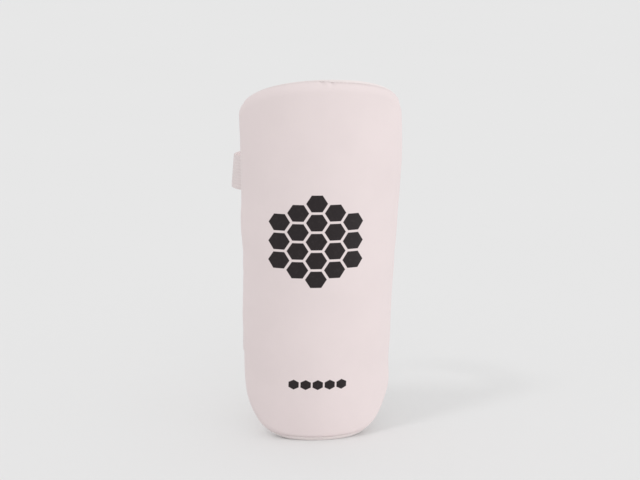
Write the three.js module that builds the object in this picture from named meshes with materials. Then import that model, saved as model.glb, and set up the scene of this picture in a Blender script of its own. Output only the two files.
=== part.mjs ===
// A cricket elbow guard: a moulded foam pad that curves round the forearm, a thin panel on the arm side whose
// edge is turned over the rim, and two elastic straps, each closed behind the arm by a hook patch.
// Millimetres, +Z up. The guard stands on its lower rim, its front faces -Y and the arm goes in along Z.
import * as THREE from "three";

// The whole guard
const GUARD_HEIGHT = 270; // from the surface it stands on to the top of the rim
const REST_FLAT = 2; // how much of the soft lower rim the floor presses flat

// Its curve round the arm, on the surface halfway through the pad: a part of an ellipse at each height
const TOP_HALF_WIDTH = 59.5; // the ellipse's half width at the top of the guard
const BOTTOM_HALF_WIDTH = 51; // and at the bottom
const SECTION_DEPTH = 46; // the ellipse's other half axis, front to back
const WRAP = THREE.MathUtils.degToRad(72); // how far round the ellipse each side reaches
const LEAN = THREE.MathUtils.degToRad(3.2); // the front leans forward as it rises
const CROWN = 6; // and it bows forward between its ends

// Its outline, laid flat: straight tapering sides and two rounded ends
const TOP_RISE = 29.2; // height of the rounded top end
const TOP_POWER = 1.98; // 2 is an ellipse, more is squarer
const BOTTOM_RISE = 63;
const BOTTOM_POWER = 3.05;

// Its thickness
const PAD_THICKNESS = 15; // front face to arm side, with the back panel
const RIM_ROUND = 8; // the thickness rounds off over this width at the rim
const PANEL_THICKNESS = 1.7;
const TOP_TURN = 0.7; // how far in from the rim the panel's turned edge ends, on the front, at the top
const TOP_FADE = 2; // how fast that shrinks towards the sides, an even power
const BOTTOM_TURN = 5.5; // the same two at the bottom
const BOTTOM_FADE = 12;

// The straps
const STRAP_WIDTH = 25;
const STRAP_THICKNESS = 1.7;
const HOOK_THICKNESS = 1.2;
const HOOK_LENGTH = 48;
const HOOK_WIDTH = 22;
const LAP = 58; // how far a strap laps over its tail
const LAP_LEAD = 30; // length over which a strap climbs onto its tail and hook patch
// Angles in degrees, lengths as shares of the size named here. height, of GUARD_HEIGHT: the strap's middle
// where it is sewn to the rim. heading: how far outward of straight back it leaves the rim. flare: how much
// more its lower edge does. depth, of SECTION_DEPTH: half axis of its loop, front to back. droop, of
// STRAP_WIDTH: how far it sinks behind the arm. bare, of STRAP_WIDTH: the tail's stretch between the rim and
// the strap's end.
const STRAPS = [
  { name: "upper", height: 0.732, heading: 24, flare: 2.5, depth: 1.22, droop: 0.28, bare: 1.36 },
  { name: "lower", height: 0.271, heading: 14, flare: 1, depth: 1, droop: 0.2, bare: 0.88 },
];

// Space between pieces that touch on the real guard
const CLEARANCE = 0.3;

// How finely the surfaces are cut
const AROUND = 72; // points round the rim, a multiple of 4
const TURN_STEPS = 8; // rows over the panel's turned edge
const NOSE_STEPS = 3; // rows over the pad's front edge
const INNER_STEPS = 5; // rows from the rim to the guard's middle line
const CURVE_POINTS = 160; // points that an end of the outline is measured with
const WALK_STEPS = 24; // steps that an arc length is measured with
const STRAP_STEP = 6; // length of one piece of strap
const SPINE_SHARE = 0.8; // where the rows meet: this share of the half width in from each end

const HALF_TURN = Math.PI / 2;
const OUTLINE_HEIGHT = GUARD_HEIGHT + REST_FLAT;

// Half width of the section's ellipse at a height, and how fast it grows with height
const WIDTH_SLOPE = (TOP_HALF_WIDTH - BOTTOM_HALF_WIDTH) / OUTLINE_HEIGHT;
const halfWidthAt = (z) => BOTTOM_HALF_WIDTH + WIDTH_SLOPE * z;

// The front line of the guard, seen from the side: a lean and a bow
const bowAt = (z) => 1 - (2 * (z / OUTLINE_HEIGHT) - 1) ** 2;
const frontAt = (z) => -Math.tan(LEAN) * z - CROWN * bowAt(z);
const bowSlope = (z) => (-4 * (2 * (z / OUTLINE_HEIGHT) - 1)) / OUTLINE_HEIGHT;
const frontSlope = (z) => -Math.tan(LEAN) - CROWN * bowSlope(z);

// How fast arc length grows with the angle round an ellipse
function arcSpeed(angle, halfWidth) {
  return Math.hypot(halfWidth * Math.cos(angle), SECTION_DEPTH * Math.sin(angle));
}

// Arc length of the section from the front line to a side, at a height
function halfArcAt(z) {
  const step = WRAP / WALK_STEPS;
  let arc = 0;
  for (let i = 0; i < WALK_STEPS; i += 1) {
    arc += step * arcSpeed((i + 0.5) * step, halfWidthAt(z));
  }
  return arc;
}

// Angle round the section that lies a given arc length from the front line
function angleAt(arc, halfWidth) {
  const step = arc / WALK_STEPS;
  let angle = 0;
  for (let i = 0; i < WALK_STEPS; i += 1) {
    const midway = angle + step / 2 / arcSpeed(angle, halfWidth);
    angle += step / arcSpeed(midway, halfWidth);
  }
  return angle;
}

// The point of the guard at an arc length and a height, an offset out from its middle surface. What the floor
// presses flat stays above it by the thickness of the layers outside that face.
function shellPoint(arc, z, offset, layer) {
  const halfWidth = halfWidthAt(z);
  const angle = angleAt(arc, halfWidth);
  const sine = Math.sin(angle);
  const cosine = Math.cos(angle);
  const point = new THREE.Vector3(halfWidth * sine, frontAt(z) + SECTION_DEPTH * (1 - cosine), z);
  const normal = new THREE.Vector3(
    SECTION_DEPTH * sine,
    -halfWidth * cosine,
    halfWidth * cosine * frontSlope(z) - SECTION_DEPTH * WIDTH_SLOPE * sine * sine,
  ).normalize();
  point.addScaledVector(normal, offset);
  point.z = Math.max(point.z - REST_FLAT, layer);
  return point;
}

// One rounded end of the outline as shares of its width and of its rise, from the centre line to the side
function endCurve(power) {
  const points = [];
  for (let i = 0; i <= CURVE_POINTS; i += 1) {
    const turn = (i / CURVE_POINTS) * HALF_TURN;
    const across = Math.sin(turn) ** (2 / power);
    const along = 1 - Math.cos(turn) ** (2 / power);
    points.push({ across, along: i === CURVE_POINTS ? 1 : along });
  }
  return points;
}

// The rim laid flat: evenly spaced points, each with its arc length from the front line, its height and the
// direction that leads in from the rim
function rimSamples() {
  const flat = (across, z) => new THREE.Vector2(across * halfArcAt(z), z);
  const bottom = endCurve(BOTTOM_POWER).map((p) => flat(p.across, p.along * BOTTOM_RISE));
  const top = endCurve(TOP_POWER).map((p) => flat(p.across, OUTLINE_HEIGHT - p.along * TOP_RISE));
  const side = new THREE.Path([...bottom, ...top.reverse()]).getSpacedPoints(AROUND / 2);
  const loop = [...side, ...side.slice(1, -1).reverse().map((p) => new THREE.Vector2(-p.x, p.y))];
  return loop.map((p, i) => {
    const next = loop[(i + 1) % loop.length];
    const last = loop[(i + loop.length - 1) % loop.length];
    const along = next.clone().sub(last).normalize();
    return { arc: p.x, z: p.y, in: new THREE.Vector2(-along.y, along.x) };
  });
}

const RIM = rimSamples();
const SPINE_LOW = SPINE_SHARE * halfArcAt(0);
const SPINE_HIGH = OUTLINE_HEIGHT - SPINE_SHARE * halfArcAt(OUTLINE_HEIGHT);

// A row of points round the guard, at the same place of the rim's rounding in each: turn is the angle over
// the rim, from a quarter turn at the front face to minus a quarter turn at the arm side; inset is the
// thickness of the layers outside this face, and layer is how far they hold it off the floor.
function rimRow(turnAt, inset, layer) {
  return RIM.map((rim) => {
    const turn = turnAt(rim);
    const inward = RIM_ROUND - (RIM_ROUND - inset) * Math.cos(turn);
    const offset = (PAD_THICKNESS / 2 - inset) * Math.sin(turn);
    return shellPoint(rim.arc + rim.in.x * inward, rim.z + rim.in.y * inward, offset, layer);
  });
}

// Rows from the rounded rim to the middle line of the guard, on the face that lies at this offset
function innerRows(offset) {
  const rows = [];
  for (let i = 0; i <= INNER_STEPS; i += 1) {
    const share = i / INNER_STEPS;
    rows.push(
      RIM.map((rim) => {
        const arc = (rim.arc + rim.in.x * RIM_ROUND) * (1 - share);
        const z = rim.z + rim.in.y * RIM_ROUND;
        const spine = THREE.MathUtils.clamp(z, SPINE_LOW, SPINE_HIGH);
        return shellPoint(arc, z + (spine - z) * share, offset, 0);
      }),
    );
  }
  return rows;
}

// A closed skin over rows of points, each row a loop, with each square cut along its shorter diagonal. Capped
// ends are filled from their first point.
function skin(rows, capped) {
  const corners = [];
  const face = (a, b, c) => {
    const thin = a.distanceTo(b) < 1e-6 || b.distanceTo(c) < 1e-6 || c.distanceTo(a) < 1e-6;
    if (!thin) corners.push(...a, ...b, ...c);
  };
  rows.slice(1).forEach((row, r) => {
    row.forEach((point, i) => {
      const j = (i + 1) % row.length;
      const [before, beforeNext, next] = [rows[r][i], rows[r][j], row[j]];
      if (before.distanceTo(next) < beforeNext.distanceTo(point)) {
        face(before, point, next);
        face(before, next, beforeNext);
      } else {
        face(before, point, beforeNext);
        face(beforeNext, point, next);
      }
    });
  });
  if (capped) {
    const first = rows[0];
    const last = rows[rows.length - 1];
    for (let i = 1; i < first.length - 1; i += 1) {
      face(first[0], first[i], first[i + 1]);
      face(last[0], last[i + 1], last[i]);
    }
  }
  const geometry = new THREE.BufferGeometry();
  geometry.setAttribute("position", new THREE.Float32BufferAttribute(corners, 3));
  geometry.computeVertexNormals();
  return geometry;
}

// Angle over the rim at which the panel's turned edge ends on the front, and the pad's cover begins: it
// reaches furthest where the rim runs level, at the ends, and lies on the crest where it runs upright, at the
// sides, where the straps come out of the seam
function seamTurn(rim) {
  const [endReach, fade] = rim.in.y < 0 ? [TOP_TURN, TOP_FADE] : [BOTTOM_TURN, BOTTOM_FADE];
  return Math.acos(1 - (endReach * rim.in.y ** fade) / RIM_ROUND);
}
const coverTurn = (rim) => seamTurn(rim) + CLEARANCE / (PAD_THICKNESS / 2);

// The foam pad in its cover: full front face, rounded edge down to the seam, and a step in to make room for
// the panel, which it then follows over the rim and down the arm side
function frontPad() {
  const bed = PANEL_THICKNESS + CLEARANCE;
  const rows = innerRows(PAD_THICKNESS / 2).reverse();
  for (let i = 1; i <= NOSE_STEPS; i += 1) {
    const share = i / NOSE_STEPS;
    rows.push(rimRow((rim) => HALF_TURN + (coverTurn(rim) - HALF_TURN) * share, 0, 0));
  }
  for (let i = TURN_STEPS; i > 0; i -= 1) {
    const share = i / TURN_STEPS;
    rows.push(rimRow((rim) => (coverTurn(rim) + HALF_TURN) * share - HALF_TURN, bed, bed));
  }
  rows.push(...innerRows(bed - PAD_THICKNESS / 2));
  return skin(rows, false);
}

// The back panel: one thickness of cloth over the arm side, turned over the rim onto the front
function backPanel() {
  const turnAt = (share) => (rim) => (seamTurn(rim) + HALF_TURN) * share - HALF_TURN;
  const rows = innerRows(PANEL_THICKNESS - PAD_THICKNESS / 2).reverse();
  for (let i = 1; i <= TURN_STEPS; i += 1) {
    rows.push(rimRow(turnAt(i / TURN_STEPS), PANEL_THICKNESS, PANEL_THICKNESS));
  }
  for (let i = TURN_STEPS; i > 0; i -= 1) {
    rows.push(rimRow(turnAt(i / TURN_STEPS), 0, 0));
  }
  rows.push(...innerRows(-PAD_THICKNESS / 2));
  return skin(rows, false);
}

// The loop that a strap's middle takes behind the arm at one height, as part of an ellipse: it starts where
// the rim is there, in the strap's heading, and ends at the same place on the other side.
class StrapLoop extends THREE.Curve {
  constructor(strap, rise) {
    super();
    const level = strap.height * GUARD_HEIGHT + rise;
    const z = level + REST_FLAT;
    const heading = strap.heading - (strap.flare * rise * 2) / STRAP_WIDTH;
    const slope = Math.tan(THREE.MathUtils.degToRad(heading));
    const halfWidth = halfWidthAt(z);
    const rimX = halfWidth * Math.sin(WRAP);
    const rimY = frontAt(z) + SECTION_DEPTH * (1 - Math.cos(WRAP));
    const square = rimX * rimX;
    this.depth = strap.depth * SECTION_DEPTH;
    this.width = Math.sqrt((square + Math.hypot(square, 2 * rimX * slope * this.depth)) / 2);
    this.start = Math.atan2(slope * this.depth, this.width);
    this.centre = rimY + this.depth * Math.sin(this.start);
    this.level = level;
    this.droop = strap.droop * STRAP_WIDTH;
  }

  // From the left rim, round behind the arm, to the right rim
  getPoint(t, target = new THREE.Vector3()) {
    const turn = t * (Math.PI + 2 * this.start) - this.start;
    const z = this.level - this.droop * Math.sin(Math.PI * t);
    return target.set(-this.width * Math.cos(turn), this.centre + this.depth * Math.sin(turn), z);
  }

  // Straight out of the loop, level, at the same place
  outwardAt(t) {
    const tangent = this.getTangent(t);
    return new THREE.Vector3(-tangent.y, tangent.x, 0).normalize();
  }
}

// A strap or patch of the loop: from and to are lengths along the loop, liftAt says how far out of it each
// place lies, and the piece is as wide and as thick as said
function band(strap, from, to, width, thickness, liftAt) {
  const edges = [-width / 2, width / 2].map((rise) => new StrapLoop(strap, rise));
  const middle = new StrapLoop(strap, 0);
  const steps = Math.max(2, Math.round((to - from) / STRAP_STEP));
  const rows = [];
  for (let i = 0; i <= steps; i += 1) {
    const length = from + ((to - from) * i) / steps;
    const t = middle.getUtoTmapping(0, length);
    const lift = liftAt(length);
    const [low, high] = edges.map((edge) => {
      const out = edge.outwardAt(t);
      return [-0.5, 0.5].map((side) => edge.getPoint(t).addScaledVector(out, lift + side * thickness));
    });
    rows.push([low[0], high[0], high[1], low[1]]);
  }
  return skin(rows, true);
}

// What one strap is made of: the strap from the left rim, the tail from the right rim, and between them,
// where the strap laps over the tail, its hook patch
function strapPieces(strap) {
  const whole = new StrapLoop(strap, 0).getLength();
  const lapEnd = whole - strap.bare * STRAP_WIDTH;
  const lapStart = lapEnd - LAP;
  const hookLift = STRAP_THICKNESS / 2 + CLEARANCE + HOOK_THICKNESS / 2;
  const strapLift = hookLift + HOOK_THICKNESS / 2 + CLEARANCE + STRAP_THICKNESS / 2;
  const climb = (length) => strapLift * THREE.MathUtils.smoothstep(length, lapStart - LAP_LEAD, lapStart);
  const hookStart = lapStart + (LAP - HOOK_LENGTH) / 2;
  const hookEnd = hookStart + HOOK_LENGTH;
  return [
    ["strap", elastic, band(strap, CLEARANCE, lapEnd, STRAP_WIDTH, STRAP_THICKNESS, climb)],
    ["strap_tail", elastic, band(strap, lapStart, whole - CLEARANCE, STRAP_WIDTH, STRAP_THICKNESS, () => 0)],
    ["hook_patch", hooks, band(strap, hookStart, hookEnd, HOOK_WIDTH, HOOK_THICKNESS, () => hookLift)],
  ];
}

// Materials
const cloth = (color, roughness) => new THREE.MeshStandardMaterial({ color, roughness, metalness: 0 });
const cover = () => cloth(0xe4d6d6, 0.62);
const panelCloth = () => cloth(0xe8dddb, 0.92);
const elastic = () => cloth(0xdcd2d1, 0.85);
const hooks = () => cloth(0xcfc8c6, 0.8);

// The assembly
const guard = new THREE.Group();

function addPiece(name, geometry, material) {
  const mesh = new THREE.Mesh(geometry, material);
  mesh.name = name;
  guard.add(mesh);
}

addPiece("front_pad", frontPad(), cover());
addPiece("back_panel", backPanel(), panelCloth());
for (const strap of STRAPS) {
  for (const [piece, material, geometry] of strapPieces(strap)) {
    addPiece(`${strap.name}_${piece}`, geometry, material());
  }
}

// The origin lies on the floor, under the middle of the guard with its straps
const footprint = new THREE.Box3().setFromObject(guard);
guard.position.y = -(footprint.min.y + footprint.max.y) / 2;

export default guard;
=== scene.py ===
"""Looks of the elbow guard: its cover, arm side panel, elastic straps, fastenings and stitches."""

import bmesh
import bpy
import numpy as np
from bpy.props import FloatProperty, FloatVectorProperty, IntProperty, PointerProperty
from mathutils import Matrix, Vector


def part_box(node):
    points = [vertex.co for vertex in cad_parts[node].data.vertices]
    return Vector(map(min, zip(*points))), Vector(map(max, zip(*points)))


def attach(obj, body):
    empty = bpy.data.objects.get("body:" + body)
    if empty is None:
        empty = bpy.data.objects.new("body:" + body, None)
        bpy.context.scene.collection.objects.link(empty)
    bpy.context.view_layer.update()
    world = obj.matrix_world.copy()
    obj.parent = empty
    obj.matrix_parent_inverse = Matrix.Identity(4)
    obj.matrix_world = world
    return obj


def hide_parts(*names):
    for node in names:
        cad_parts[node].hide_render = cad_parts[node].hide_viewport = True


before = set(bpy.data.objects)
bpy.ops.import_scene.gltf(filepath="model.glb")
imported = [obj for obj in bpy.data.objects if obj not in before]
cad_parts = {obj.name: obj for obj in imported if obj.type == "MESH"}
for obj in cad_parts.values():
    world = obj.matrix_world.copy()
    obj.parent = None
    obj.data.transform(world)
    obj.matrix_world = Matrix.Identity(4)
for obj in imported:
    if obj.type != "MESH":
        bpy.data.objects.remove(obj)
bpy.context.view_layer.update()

bl_info = {
    "name": "Elbow guard",
    "version": (1, 0, 0),
    "blender": (4, 5, 0),
    "location": "3D View > Sidebar > Guard",
    "description": "Dresses the packed elbow guard in cloth, elastic, hook tape and thread",
    "category": "Object",
}

MM = 0.001

# The guard's own sizes, in millimetres, as its solids have them, but for the power of the outline at the
# foot: 3.05 in the solids, and less here, so that the cloth looks as round at the foot as the photo's
GUARD_HEIGHT = 270.0
REST_FLAT = 2.0
TOP_HALF_WIDTH = 59.5
BOTTOM_HALF_WIDTH = 51.0
SECTION_DEPTH = 46.0
WRAP = np.radians(72.0)
LEAN = np.radians(3.2)
CROWN = 6.0
TOP_RISE = 29.2
TOP_POWER = 1.98
BOTTOM_RISE = 63.0
BOTTOM_POWER = 2.8
PAD_THICKNESS = 15.0
RIM_ROUND = 8.0
PANEL_THICKNESS = 1.7
TOP_TURN = 0.7
TOP_FADE = 2
BOTTOM_TURN = 5.5
BOTTOM_FADE = 12
STRAP_WIDTH = 25.0
STRAP_THICKNESS = 1.7
HOOK_THICKNESS = 1.2
HOOK_LENGTH = 48.0
HOOK_WIDTH = 22.0
LAP = 58.0
LAP_LEAD = 30.0
STRAP_ROUND = 0.8
HOOK_ROUND = 0.4
TUCK = 1.1
CLEARANCE = 0.3
SEAM_GAP = 0.1
SPINE_SHARE = 0.8
WALK_STEPS = 24
STRAPS = {
    "upper": {"height": 0.732, "heading": 24.0, "flare": 2.5, "depth": 1.22, "droop": 0.28, "bare": 1.36},
    "lower": {"height": 0.271, "heading": 14.0, "flare": 1.0, "depth": 1.0, "droop": 0.2, "bare": 0.88},
}

OUTLINE_HEIGHT = GUARD_HEIGHT + REST_FLAT
WIDTH_SLOPE = (TOP_HALF_WIDTH - BOTTOM_HALF_WIDTH) / OUTLINE_HEIGHT
HALF_TURN = np.pi / 2
FACE = PAD_THICKNESS / 2
BED = PANEL_THICKNESS + CLEARANCE
SINE_60 = 0.75**0.5

# Columns of points round the guard, of which the coarse skin of the cloth run has every sixth
AROUND = 720
COARSE = 6

# Distance over the rim's rounding, an ellipse seen in section, from its crest to each angle over it
RIM_TURNS = np.linspace(-HALF_TURN, HALF_TURN, 721)
RIM_SPEED = np.hypot(RIM_ROUND * np.sin(RIM_TURNS), FACE * np.cos(RIM_TURNS))
RIM_LENGTHS = np.concatenate([[0], np.cumsum((RIM_SPEED[1:] + RIM_SPEED[:-1]) / 2 * np.diff(RIM_TURNS))])
RIM_LENGTHS -= np.interp(0, RIM_TURNS, RIM_LENGTHS)

# Small puckers of the cover at its seam: distance along the rim from the top centre, distance from the seam,
# half width along the rim, half width across it, and depth
PUCKERS = (
    (-4.6, 1.8, 1.8, 2.6, 0.85),
    (2.2, 1.6, 1.5, 2.4, 0.7),
    (-1.2, 2.6, 1.5, 2.6, -0.3),
    (-67.5, 1.8, 1.7, 2.6, 0.6),
    (-64.0, 2.2, 1.5, 2.4, -0.2),
    (61.0, 1.2, 1.8, 2.2, 0.25),
    (-31.0, 0.9, 2.2, 1.8, 0.16),
    (24.0, 0.9, 2.6, 1.8, 0.14),
)

# Gathers of the cover on both sides: distance along the rim from the top centre, half width and share
GATHERS = ((62.0, 16.0, 1.0), (285.0, 30.0, 0.35))

# Where the sides are fuller or less full than the plain form: 1 for the right and -1 for the left, middle
# height, half height and rise of each swell
SIDE_FULLNESS = (
    (1, 208.0, 26.0, 1.2),
    (1, 108.0, 30.0, -0.9),
    (1, 38.0, 12.0, 1.4),
    (-1, 163.0, 17.0, 1.2),
    (-1, 93.0, 20.0, 0.8),
    (-1, 16.0, 9.0, -0.9),
)

# The slack corner of the cover at the top right: distance along the rim, half width and depth
SLACK_CORNER = (62.0, 17.0, 1.2)

# Creases of the panel: distance from the middle line, half width, share of the full depth, and where in
# their slow sway they start
CREASES = (
    (-34.0, 2.6, 0.8, 0.4),
    (-17.5, 2.0, 0.55, 2.1),
    (-3.0, 2.4, 0.9, 3.7),
    (12.5, 1.9, 0.6, 1.2),
    (29.0, 2.8, 1.0, 5.0),
)

# The cloth run of the cover: how many frames it takes, how its cloth is set, how many in a hundred of its
# moves stay below the fullness, and how often they are smoothed
CLOTH_FRAMES = 20
CLOTH = {
    "quality": 6,
    "mass": 0.2,
    "vertex_group_mass": "seam",
    "tension_stiffness": 25,
    "compression_stiffness": 25,
    "bending_stiffness": 0.4,
    "shrink_min": -0.01,
    "use_pressure": True,
    "uniform_pressure_force": 3.0,
}
MOVES_KEPT = 98
SMOOTH_PASSES = 12

# The print: how far right of the front line and how high its honeycomb and its row have their middles, and
# the size of the row's cells as a share of the honeycomb's
COMB_PLACE = (-7.3, 154.0)
ROW_PLACE = (-4.4, 45.5)
ROW_CELL = 0.56

# Stitches: points along each and round its thread, half length along the rim and half reach across the
# seam of a seam stitch, and how far inside the hook patch's edges the box of stitches lies
STITCH_POINTS = 7
THREAD_SIDES = 6
STITCH_SLANT = 0.35
STITCH_REACH = 0.62
BOX_INSET = (1.8, 1.6)

# The camera: swing to the left, height and roll in degrees, distance in metres from the point that it turns
# about, which is so far behind the guard's own origin and so high, focal length and shift of the view in
# pixels of the photo, the photo's width in pixels, and the width of the sensor
CAMERA_TURNS = (10.19, 13.02, 0.467)
CAMERA_DISTANCE = 1.7
TURNED_ABOUT = (0.01935, 0.135)
FOCUS = 2308.0
VIEW_SHIFT = (2.5, 14.3)
PHOTO_WIDTH = 640
SENSOR_WIDTH = 36.0

# The lamps, each with its setting's name, its swing to the right of the camera, its height and its spread in
# degrees, and whether it casts shadows
LAMPS = (
    ("key", -41, 53, 9.5, True),
    ("front", 4, 36, 30, True),
    ("side", 68, 5, 50, False),
)
LAMP_DISTANCE = 3

# The floor: radii of its inner rings and its thickness, in metres
FLOOR_RINGS = (0.0, 0.5, 2.0, 6.0)
FLOOR_DEPTH = 0.02


def length_property(name, description, default, least, most):
    """A length that a user may change, given in millimetres."""
    return FloatProperty(
        name=name,
        description=description,
        default=default * MM,
        min=least * MM,
        max=most * MM,
        unit="LENGTH",
    )


def light_property(name, description, default, most=10.0):
    """A strength of light that a user may change."""
    return FloatProperty(name=name, description=description, default=default, min=0.0, max=most)


def colour_property(name, description, *default):
    """A colour that a user may change, given as its red, green and blue."""
    return FloatVectorProperty(
        name=name,
        description=description,
        default=default,
        min=0.0,
        max=1.0,
        subtype="COLOR",
    )


class GuardSizes(bpy.types.PropertyGroup):
    """Small sizes of the sewn work that the solids leave out."""

    seam_round: length_property(
        "Seam rounding", "Radius of the cover's edge where it rolls down into the seam", 1.1, 0.2, 1.7
    )
    fullness: length_property(
        "Fullness", "Most that the cloth run may move the cover outward or inward", 0.8, 0.0, 2.0
    )
    pucker_share: FloatProperty(
        name="Puckers",
        description="Share of the full depth that the puckers along the seam have",
        default=1.0,
        min=0.0,
        max=1.5,
        subtype="FACTOR",
    )
    crease_depth: length_property(
        "Arm side creases", "Depth of the soft creases that the curve leaves in the panel", 0.65, 0.0, 1.0
    )
    thread_width: length_property("Thread", "Thickness of the sewing thread", 0.55, 0.2, 0.8)
    stitch_length: length_property(
        "Stitch length", "Length of thread that shows in each stitch of the straps", 2.3, 1.0, 4.0
    )
    stitch_pitch: length_property("Stitch pitch", "Distance from one stitch to the next", 3.0, 1.5, 6.0)
    rib_count: IntProperty(
        name="Elastic ribs",
        description="Number of lengthwise ribs across the elastic",
        default=11,
        min=3,
        max=20,
    )
    rib_height: length_property("Rib height", "Height of the elastic's ribs", 0.16, 0.0, 0.4)
    print_cell: length_property(
        "Print cell", "Distance between the middles of the printed hexagons", 14.0, 6.0, 20.0
    )


class GuardColours(bpy.types.PropertyGroup):
    """Colours of the guard's cloths and of its printed pattern."""

    cover: colour_property("Cover", "Coated cloth on the front of the pad", 0.765, 0.673, 0.671)
    panel: colour_property(
        "Panel", "Brushed cloth on the arm side and on the turned edge", 0.79, 0.715, 0.705
    )
    elastic: colour_property("Elastic", "Ribbed elastic of the straps", 0.755, 0.66, 0.655)
    hooks: colour_property(
        "Hook tape", "Stiff tape of small hooks between a strap and its tail", 0.62, 0.575, 0.565
    )
    thread: colour_property("Thread", "Sewing thread of the seam and the straps", 0.83, 0.77, 0.76)
    ink: colour_property("Print", "Charcoal print of plain hexagons", 0.012, 0.007, 0.008)


class StudioSettings(bpy.types.PropertyGroup):
    """Light and floor of the stage."""

    floor: colour_property("Floor", "Plain pale floor", 0.80, 0.80, 0.80)
    surround: light_property("Surrounding light", "Even light from all round", 0.863, 4.0)
    backdrop: light_property("Backdrop", "Brightness of what shows beyond the floor", 0.783, 4.0)
    key: light_property("Key light", "Strength of the soft light from the front left", 0.301)
    front: light_property("Front light", "Strength of the wide light from the camera's side", 0.12)
    side: light_property("Side light", "Strength of the wide low light from the right", 0.805)
    reach: length_property("Floor radius", "How far the floor reaches", 14000.0, 2000.0, 50000.0)


# The guard's middle surface


def half_width(z):
    """Half width of the section's ellipse: it grows evenly from the bottom to the top."""
    return BOTTOM_HALF_WIDTH + WIDTH_SLOPE * z


def front_line(z):
    """How far the front stands out, seen from the side: a straight lean and a bow that is a parabola."""
    return -np.tan(LEAN) * z - CROWN * (1 - (2 * z / OUTLINE_HEIGHT - 1) ** 2)


def front_slope(z):
    """How fast the front line runs forward with height: the slope of the lean and of the parabola."""
    return -np.tan(LEAN) + CROWN * 4 * (2 * z / OUTLINE_HEIGHT - 1) / OUTLINE_HEIGHT


def arc_speed(angle, width):
    """How fast length grows with the angle round an ellipse: the hypotenuse of its two semi-axes' shares."""
    return np.hypot(width * np.cos(angle), SECTION_DEPTH * np.sin(angle))


def half_arc(z):
    """Length of the section from the front line to a side: the speed summed at the middle of equal steps."""
    step = WRAP / WALK_STEPS
    middles = (np.arange(WALK_STEPS) + 0.5) * step
    return (arc_speed(middles, np.asarray(half_width(z))[..., None]) * step).sum(-1)


def angle_at(arc, width):
    """Angle round the ellipse at a length from the front line, walked in equal steps by the midpoint rule."""
    step = arc / WALK_STEPS
    angle = np.zeros_like(arc)
    for _ in range(WALK_STEPS):
        midway = angle + step / 2 / arc_speed(angle, width)
        angle = angle + step / arc_speed(midway, width)
    return angle


def shell_points(arc, z, offset, layer=0.0):
    """Points of the guard in metres: on the ellipse of that height, moved out from the middle surface by the
    offset along its normal, then set down by the flat of the rim and held above the floor by the layer."""
    arc, z, offset, layer = np.broadcast_arrays(arc, z, offset, layer)
    width = half_width(z)
    angle = angle_at(arc, width)
    sine = np.sin(angle)
    cosine = np.cos(angle)
    points = np.stack([width * sine, front_line(z) + SECTION_DEPTH * (1 - cosine), z], -1)
    normals = np.stack(
        [
            SECTION_DEPTH * sine,
            -width * cosine,
            width * cosine * front_slope(z) - SECTION_DEPTH * WIDTH_SLOPE * sine * sine,
        ],
        -1,
    )
    points = points + normals / np.linalg.norm(normals, axis=-1, keepdims=True) * offset[..., None]
    points[..., 2] = np.maximum(points[..., 2] - REST_FLAT, np.maximum(layer, 0))
    return points * MM + [0, SET_BACK, 0]


def end_curve(power):
    """One rounded end as shares of its width and rise: a superellipse, sine^(2/p) across and
    1 - cosine^(2/p) along."""
    turn = np.linspace(0, HALF_TURN, 900)
    across = np.sin(turn) ** (2 / power)
    along = 1 - np.maximum(np.cos(turn), 0) ** (2 / power)
    along[-1] = 1
    return across, along


def rim_table(count):
    """The rim laid flat, as points at even distances: length round the section, height, the direction in from
    the rim, and the distance along the rim from the top centre, below nought on the left. Two superellipses
    are joined by straight sides, and the left is the right's mirror."""
    low_across, low_along = end_curve(BOTTOM_POWER)
    top_across, top_along = end_curve(TOP_POWER)
    low_z = low_along * BOTTOM_RISE
    top_z = OUTLINE_HEIGHT - top_along * TOP_RISE
    right = np.concatenate(
        [
            np.stack([low_across * half_arc(low_z), low_z], 1),
            np.stack([top_across * half_arc(top_z), top_z], 1)[::-1],
        ]
    )
    run = np.concatenate([[0], np.cumsum(np.linalg.norm(np.diff(right, axis=0), axis=1))])
    places = np.linspace(0, run[-1], count // 2 + 1)
    side = np.stack([np.interp(places, run, right[:, i]) for i in (0, 1)], 1)
    loop = np.concatenate([side, side[1:-1][::-1] * [-1, 1]])
    from_top = np.concatenate([run[-1] - places, (places - run[-1])[1:-1][::-1]])
    along = np.roll(loop, -1, 0) - np.roll(loop, 1, 0)
    along /= np.linalg.norm(along, axis=1, keepdims=True)
    return {"arc": loop[:, 0], "z": loop[:, 1], "in_x": -along[:, 1], "in_y": along[:, 0], "run": from_top}


def seam_turn(rim):
    """Angle over the rim where the seam lies: the panel's turned edge reaches furthest where the rim runs
    level, by a power of its slope, and further on the right of the top than on the left."""
    wander = 1 + 0.8 * np.tanh((rim["run"] + 1) / 5)
    top = TOP_TURN * wander * rim["in_y"] ** TOP_FADE
    reach = np.where(rim["in_y"] < 0, top, BOTTOM_TURN * rim["in_y"] ** BOTTOM_FADE)
    return np.arccos(1 - reach / RIM_ROUND)


def over_rim(rim, seam, reach, inset):
    """Points at a distance from the seam, measured over the rim's elliptic rounding and straight on over the
    face beyond it, towards the front where it is above nought, and an inset below the surface."""
    length = np.interp(seam, RIM_TURNS, RIM_LENGTHS) + reach
    turn = np.interp(length, RIM_LENGTHS, RIM_TURNS)
    beyond = np.abs(length - np.clip(length, RIM_LENGTHS[0], RIM_LENGTHS[-1]))
    inward = RIM_ROUND - (RIM_ROUND - inset) * np.cos(turn) + beyond
    offset = (FACE - inset) * np.sin(turn)
    return rim["arc"] + rim["in_x"] * inward, rim["z"] + rim["in_y"] * inward, offset


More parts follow.
